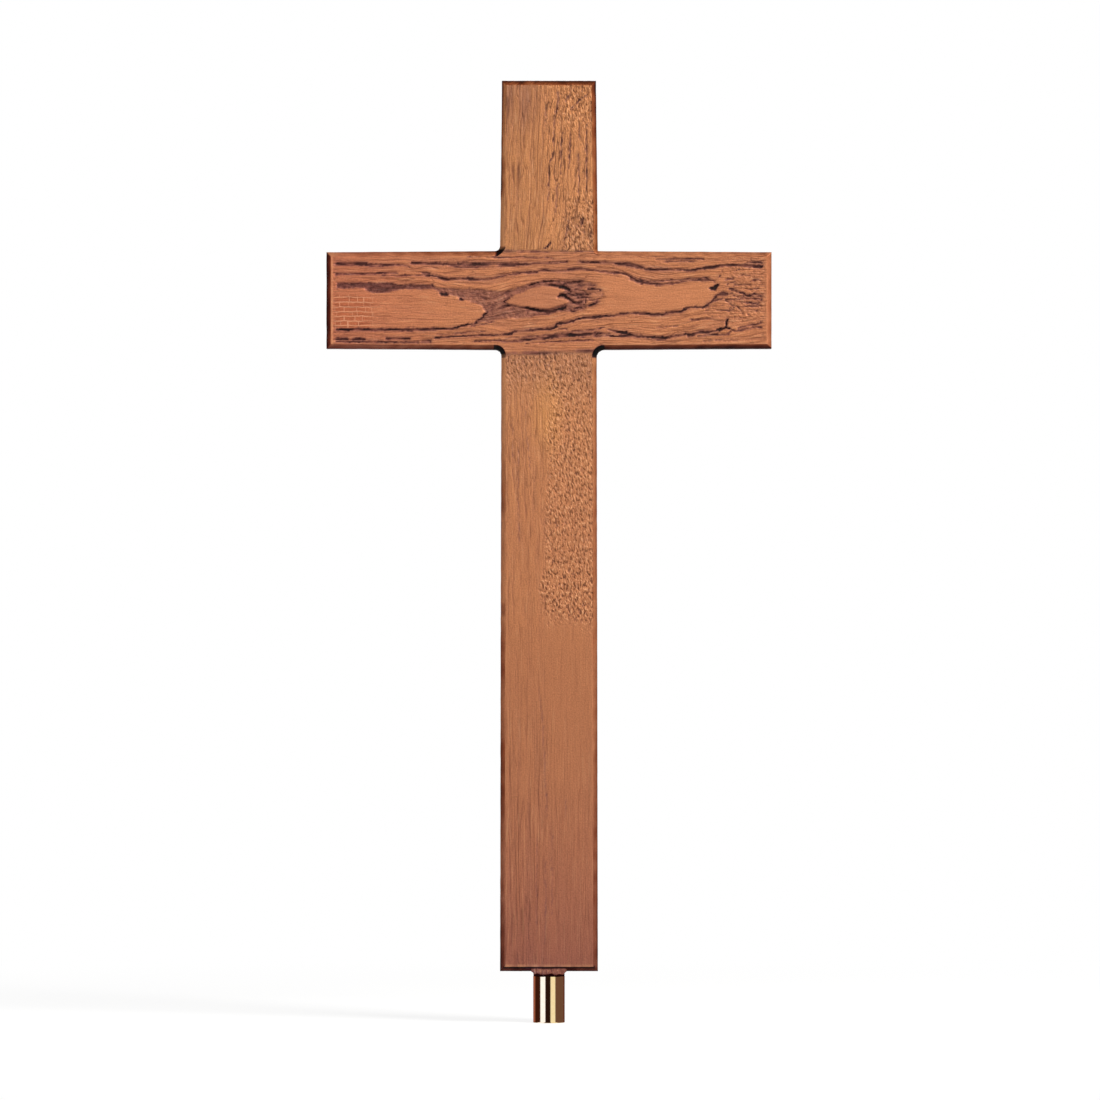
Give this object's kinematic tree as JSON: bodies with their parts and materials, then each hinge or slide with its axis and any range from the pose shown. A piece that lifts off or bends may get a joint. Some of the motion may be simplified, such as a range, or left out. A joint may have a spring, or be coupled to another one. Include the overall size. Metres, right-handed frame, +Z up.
{
  "type": "grave cross",
  "caption": "Upright cast metal grave cross with wood-grain relief on its front, carried on one short round fixing pin under its foot.",
  "frame": {"origin": "centre of the fixing pin's lower end, where the pin goes into a headstone, a socket or the ground", "axes": "+Z up along the pin and the post, -Y the way the carved front faces, +X along the crossbar to the viewer's right"},
  "size_m": [0.3, 0.026, 0.635],
  "materials": {
    "patinated_bronze": "satin brown patina over cast bronze, copper-brown on the raised grain and purple-brown in the recesses",
    "polished_brass": "turned and polished bright"
  },
  "bodies": {
    "root": {"cross": "patinated_bronze", "fixing_pin": "polished_brass"}
  },
  "joints": []
}
